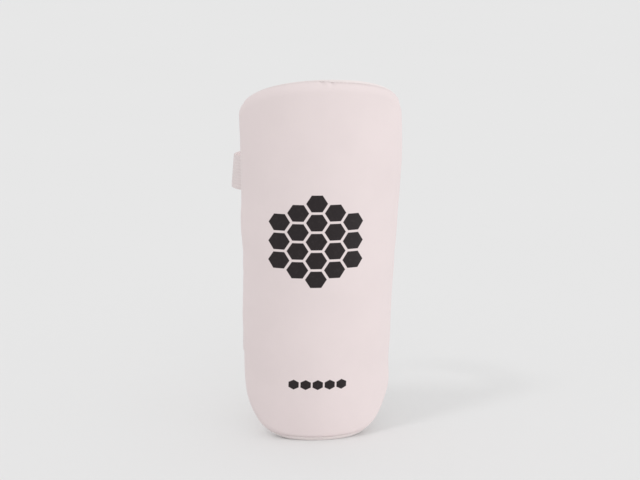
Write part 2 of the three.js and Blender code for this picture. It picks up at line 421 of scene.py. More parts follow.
def to_spine(arc, z, rows):
    """Rows from a line round the face to the guard's middle line: the arc shrinks to nought and the height
    moves to the nearest place of the middle line, both evenly with the row's share."""
    low = SPINE_SHARE * half_arc(0.0)
    high = OUTLINE_HEIGHT - SPINE_SHARE * half_arc(OUTLINE_HEIGHT)
    share = np.linspace(0, 1, rows + 1)[1:, None]
    return arc * (1 - share), z + (np.clip(z, low, high) - z) * share


# Meshes


def loop_faces(rows, columns):
    """Corner numbers of the squares between rows of points, each row a closed loop."""
    row = np.arange(rows - 1)[:, None] * columns
    column = np.arange(columns)[None, :]
    beside = (column + 1) % columns
    corners = [row + column, row + beside, row + columns + beside, row + columns + column]
    return np.stack(np.broadcast_arrays(*corners), -1).reshape(-1, 4)


def make_piece(name, points, faces, lay, material):
    """A smooth mesh object at the origin from points and square faces, with doubles merged and faces outward.
    Its attribute "lay" holds what the material reads, in metres."""
    mesh = bpy.data.meshes.new(name)
    mesh.vertices.add(len(points))
    mesh.vertices.foreach_set("co", points.astype(np.float32).ravel())
    mesh.loops.add(faces.size)
    mesh.loops.foreach_set("vertex_index", faces.astype(np.int32).ravel())
    mesh.polygons.add(len(faces))
    mesh.polygons.foreach_set("loop_start", np.arange(len(faces), dtype=np.int32) * 4)
    mesh.update(calc_edges=True)
    attribute = mesh.attributes.new("lay", "FLOAT_VECTOR", "POINT")
    attribute.data.foreach_set("vector", lay.astype(np.float32).ravel())
    shape = bmesh.new()
    shape.from_mesh(mesh)
    bmesh.ops.remove_doubles(shape, verts=shape.verts, dist=1e-7)
    bmesh.ops.dissolve_degenerate(shape, edges=shape.edges, dist=1e-8)
    open_edges = sum(not edge.is_manifold for edge in shape.edges)
    if shape.calc_volume(signed=True) < 0:
        bmesh.ops.reverse_faces(shape, faces=shape.faces)
    shape.to_mesh(mesh)
    shape.free()
    mesh.polygons.foreach_set("use_smooth", np.ones(len(mesh.polygons), bool))
    mesh.materials.append(material)
    mesh.update()
    piece = bpy.data.objects.new(name, mesh)
    bpy.context.scene.collection.objects.link(piece)
    print(f"{name}: {len(mesh.polygons)} faces, {open_edges} open edges")
    return piece


def make_skin(name, rows, lay, material):
    """A piece whose faces lie between rows of points, each row a closed loop."""
    faces = loop_faces(*rows.shape[:2])
    return make_piece(name, rows.reshape(-1, 3), faces, lay.reshape(-1, 3), material)


def finish_piece(piece, slot, *nodes):
    """Lets a piece ride with the guard and hides the solids that it stands for; the finish it is given is not
    used.
    """
    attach(piece, "root")
    if nodes:
        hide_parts(*nodes)


def smooth_step(low, high, x):
    """Rises from 0 to 1 between two values, level at both: 3 t squared less 2 t cubed."""
    t = np.clip((x - low) / (high - low), 0, 1)
    return t * t * (3 - 2 * t)


def bell(distance, spread):
    """Falls from 1 to both sides by e to the power of -x squared, where x is 1 at the spread."""
    return np.exp(-((distance / spread) ** 2))


def lay_of(arc, z, reach):
    """What a cloth reads at each point, in millimetres: distance from the middle line, height, distance from
    the seam."""
    return np.stack([arc, z - REST_FLAT, reach], -1)


def hidden_lay(reach, *parts):
    """The same for rows of points that nobody sees, all at one distance from the seam."""
    return [np.zeros(part.shape) + [0, 0, reach] for part in parts]


# Cloth


def cloth_run(points):
    """How far outward each point of a coarse skin moves, in metres, when Blender's cloth runs it without
    gravity: pushed from behind by the foam, cut a little large, and pinned along its first row."""
    count, around, _ = points.shape
    mesh = bpy.data.meshes.new("cover_trial")
    mesh.from_pydata(points.reshape(-1, 3).tolist(), [], loop_faces(count, around).tolist())
    shape = bmesh.new()
    shape.from_mesh(mesh)
    bmesh.ops.remove_doubles(shape, verts=shape.verts, dist=1e-6)
    bmesh.ops.recalc_face_normals(shape, faces=shape.faces)
    shape.to_mesh(mesh)
    shape.free()
    trial = bpy.data.objects.new("cover_trial", mesh)
    bpy.context.scene.collection.objects.link(trial)
    still = np.empty(len(mesh.vertices) * 3, np.float32)
    mesh.vertices.foreach_get("co", still)
    normals = np.empty_like(still)
    mesh.vertices.foreach_get("normal", normals)
    still, normals = still.reshape(-1, 3), normals.reshape(-1, 3)
    normals *= np.sign(-normals[:, 1].sum())
    nearest = ((points.reshape(-1, 1, 3) - still[None]) ** 2).sum(-1).argmin(1)
    trial.vertex_groups.new(name="seam").add(np.unique(nearest[:around]).tolist(), 1.0, "REPLACE")
    settings = trial.modifiers.new("cloth", "CLOTH").settings
    settings.effector_weights.gravity = 0.0
    for setting, value in CLOTH.items():
        setattr(settings, setting, value)
    for step in range(CLOTH_FRAMES):
        bpy.context.scene.frame_set(step + 1)
    seen = trial.evaluated_get(bpy.context.evaluated_depsgraph_get())
    moved = np.empty(still.size, np.float32)
    seen.data.vertices.foreach_get("co", moved)
    bpy.context.scene.frame_set(1)
    bpy.data.objects.remove(trial)
    bpy.data.meshes.remove(mesh)
    out = ((moved.reshape(-1, 3) - still) * normals).sum(1)
    print(f"cloth: moved {out.min() * 1e3:.2f} to {out.max() * 1e3:.2f} mm")
    return out[nearest].reshape(count, around)


def settled_cover(points, heights, fullness):
    """Where the cloth run leaves the cover, in millimetres outward at each point of the fine skin: the
    coarse run's moves, scaled so that nearly all are below the fullness and cut off there, then carried to
    the points between by a Fourier series round the guard and by smoothed straight lines in from the seam."""
    picks = np.concatenate([[0, 7, 9], np.arange(11, len(points) - 2, 3), [len(points) - 1]])
    coarse = cloth_run(points[picks][:, ::COARSE])
    coarse = np.clip(coarse / np.percentile(np.abs(coarse), MOVES_KEPT), -1, 1) * fullness
    round_guard = np.fft.irfft(np.fft.rfft(coarse, axis=1), n=AROUND, axis=1) * COARSE
    shares = np.stack([np.interp(np.arange(len(points)), picks, row) for row in np.eye(len(picks))], 1)
    moves = shares @ round_guard
    for _ in range(SMOOTH_PASSES):
        moves[1:-1] = (moves[:-2] + 2 * moves[1:-1] + moves[2:]) / 4
    right = np.argsort(heights[: AROUND // 2 + 1], kind="stable")
    moves[-1] = np.interp(heights, heights[right], moves[-1][right])
    return moves


# Front pad and panel


def cover_relief(run, reach, arc, z, puckers):
    """How far the cover stands above its plain surface, in millimetres: less a bell curve at each
    pucker, small gathers that fade with the distance from the seam, sides that are fuller in places, a
    slack corner, and a long shallow unevenness of the moulded foam."""
    relief = np.zeros(np.broadcast_shapes(run.shape, reach.shape))
    for place, deep, along, across, depth in PUCKERS:
        relief = relief - puckers * depth * bell(run - place, along) * bell(reach - deep, across)
    corner = sum(share * bell(np.abs(run) - place, spread) for place, spread, share in GATHERS)
    wave = np.sin(run * 1.31 + 0.6 * np.sin(run * 0.37)) + 0.6 * np.sin(run * 2.17 + 1.3)
    relief = relief + 0.075 * puckers * corner * wave * bell(reach - 2.0, 3.2)
    for side, middle, spread, rise in SIDE_FULLNESS:
        swell = rise * bell(z - middle, spread)
        relief = relief + swell * smooth_step(28, 58, side * arc) * smooth_step(1.0, 8.0, reach)
    place, spread, depth = SLACK_CORNER
    slack = bell(run - place, spread) * smooth_step(1.0, 5.0, reach)
    relief = relief - depth * slack * smooth_step(26, 10, reach)
    foam = np.sin(arc * 0.052 + 0.8) * np.sin(z * 0.031 + 0.4) + 0.5 * np.sin(arc * 0.021 - z * 0.043 + 2.1)
    return relief + 0.16 * foam * smooth_step(2, 16, reach)


def pad_cover_rows(sizes):
    """Closed skin of the foam pad in its cover, as rows of points round the guard: from the middle line out
    over the front, over the rounded edge down into the seam by a quarter circle, and back to the middle line
    on the bed under the panel. The third value of lay is the distance from the seam."""
    rim = rim_table(AROUND)
    seam = seam_turn(rim)
    round_off = sizes.seam_round / MM
    near = np.concatenate([round_off * (1 - np.cos(np.linspace(0, HALF_TURN, 7))), [1.5, 2.0, 2.6, 3.3, 4.0]])
    near = near + SEAM_GAP / 2
    face_start = np.maximum(RIM_LENGTHS[-1] - np.interp(seam, RIM_TURNS, RIM_LENGTHS), 5.0)
    share = np.linspace(0, 1, 10)[1:, None]
    reach = np.concatenate([near[:, None] + 0 * seam, near[-1] + (face_start - near[-1]) * share])
    dip = round_off - np.sqrt(np.maximum(round_off**2 - np.maximum(round_off + near[0] - reach, 0) ** 2, 0))
    run = rim["run"][None, :]
    arc, z, offset = over_rim(rim, seam, reach, dip)
    face_arc, face_z = to_spine(arc[-1], z[-1], 28)
    face_reach = reach[-1] + np.hypot(face_arc - arc[-1], face_z - z[-1])
    relief = cover_relief(run, reach, arc, z, sizes.pucker_share)
    rise = cover_relief(run, face_reach, face_arc, face_z, sizes.pucker_share)
    plain = np.concatenate([shell_points(arc, z, offset), shell_points(face_arc, face_z, FACE)])
    moves = settled_cover(plain, face_z[-1], sizes.fullness / MM)
    relief = relief + moves[: len(reach)] * smooth_step(0.3, 4.0, reach)
    rise = rise + moves[len(reach) :]
    arc, z, offset = over_rim(rim, seam, reach, dip - relief)
    edge = shell_points(arc, z, offset, 0.0)
    face = shell_points(face_arc, face_z, FACE + rise, 0.0)
    bed_reach = np.linspace(0, 1, 12)[:, None] * (RIM_LENGTHS[0] - np.interp(seam, RIM_TURNS, RIM_LENGTHS))
    bed_reach[0] = near[0]
    bed_arc, bed_z, bed_offset = over_rim(rim, seam, bed_reach, BED + 0 * bed_reach)
    bed = shell_points(bed_arc, bed_z, bed_offset, BED)
    back_arc, back_z = to_spine(bed_arc[-1], bed_z[-1], 6)
    back = shell_points(back_arc, back_z, BED - FACE, 0.0)
    rows = np.concatenate([face[::-1], edge[::-1], bed, back])
    front_lay = [lay_of(face_arc, face_z, face_reach)[::-1], lay_of(arc, z, reach)[::-1]]
    return rows, np.concatenate([*front_lay, *hidden_lay(0.1, bed, back)]) * MM


def panel_relief(reach, arc, z, depth):
    """How far the panel stands above its plain surface, in millimetres: soft upright creases where the curve
    gathers it, each a narrow bell across a slow wave of the height, and a slight swell between them."""
    middles, widths, shares, starts = np.transpose(CREASES)
    sway = middles + 2.4 * np.sin(z[..., None] / 38 + starts)
    strength = shares * (0.5 + 0.5 * np.sin(z[..., None] / 27 + 2 * starts))
    creases = bell(arc[..., None] - sway, widths) * strength
    swell = 0.25 * np.sin(arc * 0.19 + 0.5 * np.sin(z * 0.03)) * np.sin(z * 0.041 + 0.9)
    return depth * smooth_step(6, 20, reach) * (swell - creases.sum(-1))


def arm_panel_rows(sizes):
    """Closed skin of the cloth panel, as rows of points round the guard: from the middle line out along its
    inner face, over the rim, round its turned edge by a half circle, back over the rim's crest and over the
    arm side to the middle line. Stitches pull small dents into the turned edge."""
    rim = rim_table(AROUND)
    seam = seam_turn(rim)
    crest = np.interp(seam, RIM_TURNS, RIM_LENGTHS)
    thick = PANEL_THICKNESS
    nose = thick / 2
    steps = np.linspace(0, 1, 13)[1:, None]
    inner_reach = -nose - SEAM_GAP / 2 + (RIM_LENGTHS[0] - crest + nose) * steps
    arc, z, offset = over_rim(rim, seam, inner_reach, thick + 0 * inner_reach)
    inner = shell_points(arc, z, offset, thick)
    back_arc, back_z = to_spine(arc[-1], z[-1], 6)
    back = shell_points(back_arc, back_z, thick - FACE, 0.0)
    bend = np.linspace(-HALF_TURN, HALF_TURN, 9)[:, None] + 0 * seam
    arc, z, offset = over_rim(rim, seam, -SEAM_GAP / 2 - nose * (1 - np.cos(bend)), nose * (1 - np.sin(bend)))
    edge = shell_points(arc, z, offset, nose * (1 - np.sin(bend)))
    edge_lay = lay_of(arc, z, SEAM_GAP / 2 + nose * (1 - np.cos(bend)))
    close = np.array([0.25, 0.5, 0.75, 1.0, 1.3, 1.7, 2.2])[:, None] + 0 * seam
    far = close[-1] + (crest - RIM_LENGTHS[0] - nose - close[-1]) * np.linspace(0, 1, 17)[1:, None]
    outer_reach = nose + np.concatenate([close, far])
    pull = 0.5 - 0.5 * np.cos(2 * np.pi * rim["run"] * MM / sizes.stitch_pitch)
    dent = 0.10 * pull * bell(outer_reach - 1.6, 0.55)
    arc, z, offset = over_rim(rim, seam, -SEAM_GAP / 2 - outer_reach, dent)
    outer = shell_points(arc, z, offset, 0.0)
    outer_lay = lay_of(arc, z, outer_reach)
    face_arc, face_z = to_spine(arc[-1], z[-1], 34)
    face_reach = np.hypot(face_arc - arc[-1], face_z - z[-1]) + outer_reach[-1]
    relief = panel_relief(face_reach - 9, face_arc, face_z, sizes.crease_depth / MM)
    face = shell_points(face_arc, face_z, -FACE - relief, 0.0)
    rows = np.concatenate([back[::-1], inner[::-1], edge, outer, face])
    lay = [*hidden_lay(2.0, back, inner), edge_lay, outer_lay, lay_of(face_arc, face_z, face_reach)]
    return rows, np.concatenate(lay) * MM


# Straps


def strap_loop(strap, rise):
    """Sizes of the loop that each line of a strap takes behind the arm: part of an ellipse that starts where
    the rim is at that height and in the strap's heading, which changes across the strap."""
    level = strap["height"] * GUARD_HEIGHT + rise
    z = level + REST_FLAT
    slope = np.tan(np.radians(strap["heading"] - strap["flare"] * rise * 2 / STRAP_WIDTH))
    rim_x = half_width(z) * np.sin(WRAP)
    rim_y = front_line(z) + SECTION_DEPTH * (1 - np.cos(WRAP))
    depth = strap["depth"] * SECTION_DEPTH
    width = np.sqrt((rim_x**2 + np.hypot(rim_x**2, 2 * rim_x * slope * depth)) / 2)
    start = np.arctan2(slope * depth, width)
    mid = rim_y + depth * np.sin(start)
    return {"level": level, "depth": depth, "width": width, "start": start, "mid": mid}


def loop_place(strap, loop, share):
    """Points on a strap's loop in millimetres at shares of its turn, and the angles there: an ellipse that
    droops by a sine from rim to rim."""
    turn = share * (np.pi + 2 * loop["start"]) - loop["start"]
    x = -loop["width"] * np.cos(turn)
    y = loop["mid"] + loop["depth"] * np.sin(turn)
    z = loop["level"] - strap["droop"] * STRAP_WIDTH * np.sin(np.pi * share)
    return np.stack([x, y, z], -1), turn


def strap_walk(strap, shares):
    """Length of a strap's middle loop up to each share of its turn, summed over the steps between them."""
    walk, _ = loop_place(strap, strap_loop(strap, 0.0), shares)
    return np.concatenate([[0], np.cumsum(np.linalg.norm(np.diff(walk, axis=0), axis=1))])


def strap_points(strap, length, rise, lift):
    """Points of a strap in metres: at a length along its middle loop, a rise across it, and a lift out of it
    along the normal of the ellipse."""
    length, rise, lift = np.broadcast_arrays(length, rise, lift)
    shares = np.linspace(-0.03, 1.03, 4241)
    lengths = strap_walk(strap, shares)
    lengths -= np.interp(0, shares, lengths)
    loop = strap_loop(strap, rise)
    points, turn = loop_place(strap, loop, np.interp(length, lengths, shares))
    out = np.stack([-loop["depth"] * np.cos(turn), loop["width"] * np.sin(turn), 0 * turn], -1)
    out /= np.linalg.norm(out, axis=-1, keepdims=True)
    return (points + out * lift[..., None]) * MM + [0, SET_BACK, 0]


def strap_places(strap):
    """Where things lie along a strap, in millimetres from its left rim, and how far they are lifted."""
    whole = strap_walk(strap, np.linspace(0, 1, 4001))[-1]
    lap_end = whole - strap["bare"] * STRAP_WIDTH
    hook_lift = STRAP_THICKNESS / 2 + CLEARANCE + HOOK_THICKNESS / 2
    return {
        "whole": whole,
        "lap_end": lap_end,
        "lap_start": lap_end - LAP,
        "hook_start": lap_end - LAP + (LAP - HOOK_LENGTH) / 2,
        "hook_lift": hook_lift,
        "strap_lift": hook_lift + HOOK_THICKNESS / 2 + CLEARANCE + STRAP_THICKNESS / 2,
    }


def band_profile(width, thickness, ribs, rib_height, corner):
    """Closed cross-section of a band as rises across and heights out: two faces that round off to each other
    by a quarter ellipse at the edges, with ribs that are a cosine across the faces."""
    ends = width / 2 * (1 - 0.5 * (corner / width) * (1 - np.cos(np.linspace(0, np.pi, 9)[:-1])) * 2)
    middle = np.linspace(ends[-1] - 0.4, -(ends[-1] - 0.4), max(ribs * 7, 25))
    rise = np.concatenate([ends, middle, -ends[::-1]])
    edge = np.clip((width / 2 - np.abs(rise)) / corner, 0, 1)
    round_off = np.sqrt(1 - (1 - edge) ** 2)
    grooves = rib_height * (0.5 - 0.5 * np.cos(2 * np.pi * (ribs * (rise / width + 0.5))))
    height = (thickness / 2 - grooves * edge) * round_off
    return np.concatenate([rise, rise[-2:0:-1]]), np.concatenate([height, -height[-2:0:-1]])


def band_rows(strap, lengths, profile, lift, squeeze):
    """Rows of points of a band: its cross-section carried along the strap's loop, with its heights squeezed
    where it enters the seam and where it ends."""
    rise, height = profile
    points = strap_points(strap, lengths[:, None], rise[None, :], lift[:, None] + height * squeeze[:, None])
    lay = np.stack(np.broadcast_arrays(lengths[:, None], rise[None, :], np.sign(height)[None, :]), -1)
    return points, lay * MM


def spaced(start, end, step, fine):
    """Lengths from start to end at about the given step, crowded by a quarter circle at both ends."""
    crowd = fine * (1 - np.cos(np.linspace(0, HALF_TURN, 6)))[:-1]
    inner = np.linspace(start + fine, end - fine, int((end - start) / step) + 1)
    return np.concatenate([start + crowd, inner, end - crowd[::-1]])


def round_ends(lengths, start, end, fine):
    """Share of the full thickness near both ends: a quarter circle of the given radius."""
    near = np.clip(np.minimum(lengths - start, end - lengths) / fine, 0, 1)
    return np.sqrt(1 - (1 - near) ** 2)


# Materials


class Field:
    """One value in a material's nodes. Arithmetic on it adds Math nodes."""

    def __init__(self, finish, socket):
        self.finish = finish
        self.socket = socket

    def math(self, operation, *others):
        return self.finish.number(operation, self, *others)

    def __add__(self, other):
        return self.math("ADD", other)

    def __sub__(self, other):
        return self.math("SUBTRACT", other)

    def __mul__(self, other):
        return self.math("MULTIPLY", other)

    def __rsub__(self, other):
        return self.finish.number("SUBTRACT", other, self)

    def __abs__(self):
        return self.math("ABSOLUTE")

    def __lt__(self, other):
        return self.math("LESS_THAN", other)

    __radd__ = __add__
    __rmul__ = __mul__

    def sine(self):
        return self.math("SINE")

    def larger(self, other):
        return self.math("MAXIMUM", other)

    def wave(self, pitch):
        """Sine that repeats at every pitch, in metres."""
        return (self * (2 * np.pi / pitch)).sine()

    def wrapped(self, size):
        """The value less the nearest whole number of sizes."""
        return self.math("WRAP", size / 2, -size / 2)

    def rise(self, low, high):
        """From 0 to 1 between two values, smoothly."""
        settings = {"interpolation_type": "SMOOTHSTEP"}
        return self.finish.node("ShaderNodeMapRange", settings, {0: self, 1: low, 2: high})


class Finish:
    """A material of one cloth: a Principled shader and the nodes that feed it."""

    def __init__(self, name, constants):
        self.material = bpy.data.materials.new(name)
        self.material.use_nodes = True
        self.tree = self.material.node_tree
        self.shader = self.tree.nodes["Principled BSDF"]
        for socket, value in constants.items():
            self.shader.inputs[socket].default_value = value
        self.place = self.node("ShaderNodeTexCoord", {}, {}, "Object")

    def node(self, kind, settings, values, output=0):
        """Adds a node of any type: its settings first, then the values or links of its sockets."""
        node = self.tree.nodes.new(kind)
        for setting, value in settings.items():
            setattr(node, setting, value)
        for socket, value in values.items():
            if isinstance(value, Field):
                self.tree.links.new(value.socket, node.inputs[socket])
            else:
                node.inputs[socket].default_value = value
        return Field(self, node.outputs[output])

    def number(self, operation, *values):
        return self.node("ShaderNodeMath", {"operation": operation}, dict(enumerate(values)))

    def lay(self):
        """The three values that the piece's own attribute holds, each a field."""
        whole = self.node("ShaderNodeAttribute", {"attribute_name": "lay"}, {}, "Vector")
        return [self.node("ShaderNodeSeparateXYZ", {}, {0: whole}, i) for i in range(3)]

    def joined(self, x, y, z):
        return self.node("ShaderNodeCombineXYZ", {}, {0: x, 1: y, 2: z})

    def noise(self, scale, detail=3.0, roughness=0.55):
        """Noise over the object's own coordinates."""
        values = {"Vector": self.place, "Scale": scale, "Detail": detail, "Roughness": roughness}
        return self.node("ShaderNodeTexNoise", {}, values)

    def cells(self, place, scale):
        """Distance to the nearest of the points scattered at a scale."""
        return self.node("ShaderNodeTexVoronoi", {"feature": "F1"}, {"Vector": place, "Scale": scale})

    def tint(self, share, first, second):
        """A colour between two, each a colour or a link."""
        values = {0: share, 6: first, 7: second}
        return self.node("ShaderNodeMix", {"data_type": "RGBA"}, values, 2)

    def mottled(self, noise, colour, darker, lighter):
        """A colour that wanders with a noise between a darker and a lighter shade of itself."""
        return self.tint(noise.rise(0.3, 0.7), shade(colour, darker), shade(colour, lighter))

    def bump(self, height, depth):
        """A normal from a height between 0 and 1, and what 1 is worth in metres."""
        return self.node("ShaderNodeBump", {}, {"Strength": 1.0, "Distance": depth, "Height": height})

    def feed(self, colour, roughness, normal):
        """Joins the three to the shader, and gives the finished material."""
        for socket, value in (("Base Color", colour), ("Roughness", roughness), ("Normal", normal)):
            self.tree.links.new(value.socket, self.shader.inputs[socket])
        return self.material


def shade(colour, factor):
    """A colour made lighter or darker by a factor, with full opacity."""
    return (*[min(channel * factor, 1.0) for channel in colour], 1.0)


def hexagons(x, y, cell):
    """The plain hexagon that a point of a pattern belongs to: its distance from the middle, measured to the
    flat sides, and the middle's own place. Two square grids, half a step apart, hold the middles."""
    wide = cell * 3**0.5
    first_x = x.wrapped(wide)
    first_y = y.wrapped(cell)
    second_x = (x - wide / 2).wrapped(wide)
    second_y = (y - cell / 2).wrapped(cell)
    nearer = first_x * first_x + first_y * first_y < second_x * second_x + second_y * second_y
    local_x = second_x + (first_x - second_x) * nearer
    local_y = second_y + (first_y - second_y) * nearer
    distance = abs(local_y).larger(abs(local_y) * 0.5 + abs(local_x) * SINE_60)
    return distance, x - local_x, y - local_y


def printed(arc, height, cell):
    """1 where the print is: nineteen hexagons in a honeycomb on the chest of the pad, and five small ones
    in a row near its foot, with edges that fade over a third of a millimetre."""
    middle, level = COMB_PLACE
    distance, mid_x, mid_y = hexagons(arc - middle * MM, height - level * MM, cell)
    inside = abs(mid_x).larger(abs(mid_x) * 0.5 + abs(mid_y) * SINE_60) < 2.1 * cell * SINE_60
    comb = (1 - distance.rise(0.425 * cell, 0.425 * cell + 0.35 * MM)) * inside
    small = cell * ROW_CELL
    middle, level = ROW_PLACE
    distance, mid_y, mid_x = hexagons(height - level * MM, arc - middle * MM, small)
    inside = (abs(mid_y) < 0.1 * small) * (abs(mid_x) < 2.1 * small)
    row = (1 - distance.rise(0.41 * small, 0.41 * small + 0.3 * MM)) * inside
    return comb.larger(row)


def cover_cloth(colours, sizes):
    """Coated cloth: a fine pebbled grain over a faint weave, hardly mottled, a little darker along the seam,
    where shade in its groove is painted in with some dust, with the print slightly glossier than the coat."""
    finish = Finish("cover_cloth", {"Sheen Weight": 0.1, "Sheen Roughness": 0.45, "Specular IOR Level": 0.3})
    arc, height, edge = finish.lay()
    mottle = finish.noise(24.0, 4.0)
    fine = finish.noise(420.0, 2.0)
    grain = finish.cells(finish.place, 1150.0)
    weave = arc.wave(0.00062) * height.wave(0.00062)
    ink = printed(arc, height, sizes.print_cell)
    worn = ink * (1 - 0.008 * fine.rise(0.5, 0.75))
    base = finish.mottled(mottle, colours.cover, 0.985, 1.012)
    # painted shade in the seam groove, with some dust: darker within about 3 mm of the seam
    seam_shade_and_dust = finish.tint((1 - edge.rise(0.0002, 0.0032)) * 0.30, base, shade(colours.cover, 0.72))
    colour = finish.tint(worn, seam_shade_and_dust, shade(colours.ink, 1.0))
    roughness = 0.56 + 0.08 * mottle - 0.12 * ink
    depth = grain * 0.55 + weave * 0.12 + fine * 0.35 + ink * 0.7
    return finish.feed(colour, roughness, finish.bump(depth, 0.000028))


def panel_cotton(colours):
    """Brushed cotton: a plain weave under short soft fibres that run at random, faintly mottled."""
    finish = Finish("panel_cotton", {"Sheen Weight": 0.4, "Sheen Roughness": 0.6, "Specular IOR Level": 0.25})
    arc, height, edge = finish.lay()
    mottle = finish.noise(30.0, 5.0)
    fibres = finish.noise(900.0, 4.0, 0.7)
    weave = abs(arc.wave(0.0009)) * 0.6 + abs(height.wave(0.0009)) * 0.4
    colour = finish.mottled(mottle, colours.panel, 0.97, 1.02)
    colour = finish.tint(fibres.rise(0.4, 0.75) * 0.25, colour, shade(colours.panel, 1.07))
    # painted shade in the seam groove: darker within about 2 mm of the seam
    colour = finish.tint((1 - edge.rise(0.0003, 0.0018)) * 0.2, colour, shade(colours.panel, 0.8))
    roughness = 0.86 + 0.08 * fibres
    return finish.feed(colour, roughness, finish.bump(weave * 0.6 + fibres * 0.8, 0.00007))


def ribbed_elastic(colours, sizes):
    """Woven elastic: thread loops across the ribs, each thread's crown paler than the grooves between, which
    painted shade darkens.
    """
    fixed = {"Sheen Weight": 0.3, "Sheen Roughness": 0.5, "Specular IOR Level": 0.3}
    finish = Finish("ribbed_elastic", fixed)
    length, across, _ = finish.lay()
    mottle = finish.noise(40.0, 4.0)
    fibres = finish.noise(1100.0, 3.0)
    ribs = across.wave(STRAP_WIDTH * MM / sizes.rib_count)
    loops = abs((length * (np.pi / 0.00085) + ribs * 0.8).sine())
    colour = finish.mottled(mottle, colours.elastic, 0.96, 1.03)
    # painted shade in the grooves between the thread loops
    colour = finish.tint((1 - loops) * 0.35, colour, shade(colours.elastic, 0.72))
    colour = finish.tint(fibres.rise(0.45, 0.75) * 0.2, colour, shade(colours.elastic, 1.1))
    roughness = 0.78 + 0.1 * fibres
    return finish.feed(colour, roughness, finish.bump(loops * 0.8 + fibres * 0.4, 0.00011))


def hook_tape(colours):
    """Hook tape: close rows of small stiff hooks, each a raised cell with painted light on it and painted
    shade between, on a smooth base that shows at the edge."""
    finish = Finish("hook_tape", {"Specular IOR Level": 0.5})
    length, across, _ = finish.lay()
    hooks = 1 - finish.cells(finish.joined(length, across, 0.0), 720.0).rise(0.12, 0.55)
    mottle = finish.noise(160.0, 3.0)
    # painted light on the raised hooks and painted shade between them
    colour = finish.tint(hooks, shade(colours.hooks, 0.78), shade(colours.hooks, 1.06))
    colour = finish.tint(mottle.rise(0.35, 0.7) * 0.3, colour, shade(colours.hooks, 0.9))
    roughness = 0.62 - 0.2 * hooks
    return finish.feed(colour, roughness, finish.bump(hooks, 0.0003))


def sewing_thread(colours):
    """Twisted thread: slanting plies round each stitch, with painted shade between them and a soft lustre."""
    finish = Finish("sewing_thread", {"Sheen Weight": 0.2, "Specular IOR Level": 0.45})
    along, around, _ = finish.lay()
    plies = abs((along * (np.pi / 0.0005) + around * 1000.0).sine())
    fuzz = finish.noise(1500.0, 2.0)
    # painted shade between the plies and painted light on their crowns
    colour = finish.tint(plies, shade(colours.thread, 0.82), shade(colours.thread, 1.05))
    roughness = 0.5 + 0.2 * fuzz
    return finish.feed(colour, roughness, finish.bump(plies * 0.8 + fuzz * 0.3, 0.00006))


def studio_floor(studio):
    """Matt floor, with a shade that hardly changes."""
    finish = Finish("studio_floor", {"Specular IOR Level": 0.0})
    drift = finish.noise(3.0, 3.0)
    colour = finish.mottled(drift, studio.floor, 0.998, 1.002)
    roughness = 0.94 + 0.02 * drift
    return finish.feed(colour, roughness, finish.bump(drift, 0.00002))


# Stitches


def thread_runs(lines, outs, width):
    """Stitches as closed tubes: rings of points round each line of centres, whose radius falls off at both
    ends by a root of 1 - x^4. Lines are stitches by places by coordinates, outs the same, pointing out of
    the cloth."""
    count, places, _ = lines.shape
    share = np.linspace(-1, 1, places)
    radius = width / 2 * np.sqrt(np.maximum(1 - np.abs(share) ** 4, 0))
    along = np.gradient(lines, axis=1)
    along /= np.linalg.norm(along, axis=-1, keepdims=True)
    side = np.cross(along, outs)
    side /= np.linalg.norm(side, axis=-1, keepdims=True)
    out = np.cross(side, along)
    turn = np.linspace(0, 2 * np.pi, THREAD_SIDES + 1)[:-1]
    rings = lines[:, :, None] + radius[:, None, None] * (
        np.cos(turn)[:, None] * side[:, :, None] + np.sin(turn)[:, None] * out[:, :, None]
    )
    every = loop_faces(places, THREAD_SIDES) + np.arange(count)[:, None, None] * places * THREAD_SIDES
    length = np.cumsum(np.linalg.norm(np.diff(lines, axis=1, prepend=lines[:, :1]), axis=-1), axis=1)
    parts = np.broadcast_arrays(length[:, :, None], turn * width / 2, 0.0)
    return rings.reshape(-1, 3), every.reshape(-1, 4), np.stack(parts, -1).reshape(-1, 3)


def seam_stitches(sizes):
    """Centre lines of the stitches that close the seam: each crosses the groove between the cover and the
    panel's turned edge, and slants a little."""
    rim = rim_table(4 * AROUND)
    seam = seam_turn(rim)
    order = np.argsort(rim["run"])
    perimeter = rim["run"].max() * 2
    count = int(perimeter * MM / sizes.stitch_pitch)
    run = (np.arange(count) + 0.5) / count * perimeter - perimeter / 2
    places = np.linspace(-1, 1, STITCH_POINTS)
    spot = run[:, None] + STITCH_SLANT * places
    near = {key: np.interp(spot, rim["run"][order], value[order]) for key, value in rim.items()}
    seam_there = np.interp(spot, rim["run"][order], seam[order])
    lines = []
    for depth in (0.62, 0.12):
        inset = depth + 0.16 * places**2 + 0 * spot
        arc, z, offset = over_rim(near, seam_there, STITCH_REACH * places + 0 * spot, inset)
        lines.append(shell_points(arc, z, offset, 0.4))
    return lines[0], lines[1] - lines[0]


